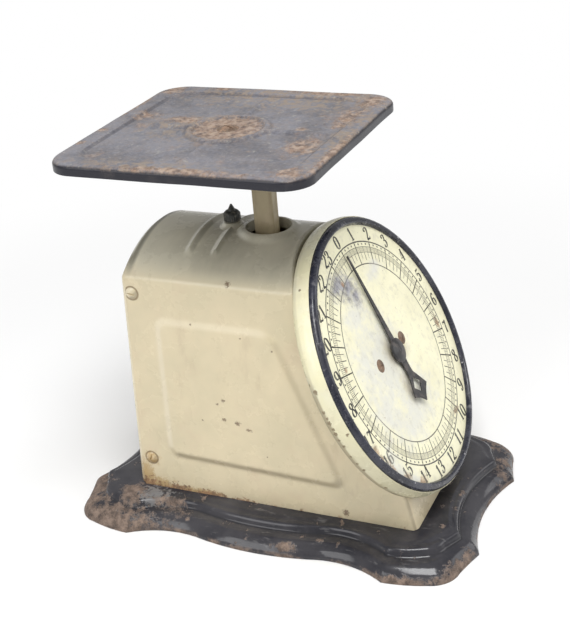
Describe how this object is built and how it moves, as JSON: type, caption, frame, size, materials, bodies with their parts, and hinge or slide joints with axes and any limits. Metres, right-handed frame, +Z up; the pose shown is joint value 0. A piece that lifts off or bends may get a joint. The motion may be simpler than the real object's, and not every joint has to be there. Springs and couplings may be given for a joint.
{
  "type": "spring platform scale",
  "caption": "Household spring scale: flat tray on a sliding post, folded housing, round tilted dial with a spear pointer, and a waved pressed base.",
  "frame": {"origin": "middle of the base footprint, on the table", "axes": "+Z up through the platform, the dial faces -Y, +X to the right of someone who reads the dial"},
  "size_m": [0.162, 0.244, 0.2245],
  "materials": {
    "case_enamel": "aged cream enamel, satin, with rust specks",
    "base_enamel": "worn black enamel with rust at the edge",
    "tray_enamel": "worn black enamel with patches of rust",
    "bezel_enamel": "gloss black",
    "dial_paper": "cream enamel with printed numerals",
    "pointer_black": "satin black",
    "steel": "plain bright steel",
    "spring_steel": "oiled spring steel",
    "rusty_steel": "browned steel",
    "post_enamel": "aged cream enamel",
    "nut_black": "worn black paint over steel",
    "brass": "dull brass"
  },
  "bodies": {
    "root": {"base_plate": "base_enamel", "base_screws": "steel", "housing_shell": "case_enamel", "rear_cover": "case_enamel", "case_screws": "post_enamel", "dial_pan": "case_enamel", "pan_rivets": "steel", "bezel_ring": "bezel_enamel", "dial_plate": "dial_paper", "dial_posts": "brass", "dial_screws": "rusty_steel", "front_bush": "brass", "pinion_bracket": "steel", "bracket_screws": "steel", "link_frame": "steel", "frame_screws": "steel", "upper_frame_pin": "steel", "lower_frame_pin": "steel", "load_spring": "spring_steel"},
    "carriage": {"platform": "tray_enamel", "platform_support": "post_enamel", "platform_screw": "rusty_steel", "post": "post_enamel", "post_rivets": "steel", "carriage": "steel", "upper_carriage_pin": "steel", "lower_carriage_pin": "steel", "rack": "brass", "rack_screws": "steel", "spring_anchor": "steel", "anchor_nut": "steel"},
    "pointer": {"pointer": "pointer_black", "pointer_hub": "brass", "pointer_cap": "pointer_black", "arbor": "steel", "pinion": "brass"},
    "upper_link": {"upper_link": "steel"},
    "lower_link": {"lower_link": "steel"},
    "hanger": {"hanger_stud": "nut_black"},
    "zero_nut": {"zero_nut": "nut_black"}
  },
  "joints": [
    {"name": "load_slide", "type": "slide", "parent": "root", "child": "carriage", "axis": [0, 0, -1], "range_m": [0, 0.0254], "stiffness_N_per_m": 4200, "springref_m": -0.0013, "deforming": ["load_spring"]},
    {"name": "pointer_spin", "type": "hinge", "parent": "root", "child": "pointer", "pos_m": [0, -0.065, 0.09906], "axis": [0, 0.8965, -0.4431], "range_deg": [-8, 368]},
    {"name": "upper_link_swing", "type": "hinge", "parent": "root", "child": "upper_link", "pos_m": [0, 0.066, 0.115], "axis": [1, 0, 0], "range_deg": [-0.5, 25]},
    {"name": "lower_link_swing", "type": "hinge", "parent": "root", "child": "lower_link", "pos_m": [0, 0.066, 0.05], "axis": [1, 0, 0], "range_deg": [-0.5, 25]},
    {"name": "hanger_lift", "type": "slide", "parent": "root", "child": "hanger", "axis": [0, 0, 1], "range_m": [-0.0012, 0.0012]},
    {"name": "zero_turn", "type": "hinge", "parent": "root", "child": "zero_nut", "pos_m": [0, 0.0278, 0.1728], "axis": [0, 0, 1], "range_deg": [-545, 545]}
  ],
  "couplings": [
    {"joint": "pointer_spin", "follows": "load_slide", "rad_per_m": 247.37},
    {"joint": "upper_link_swing", "follows": "load_slide", "rad_per_m": 16.794},
    {"joint": "lower_link_swing", "follows": "load_slide", "rad_per_m": 16.794},
    {"joint": "zero_turn", "follows": "hanger_lift", "rad_per_m": 7854}
  ]
}
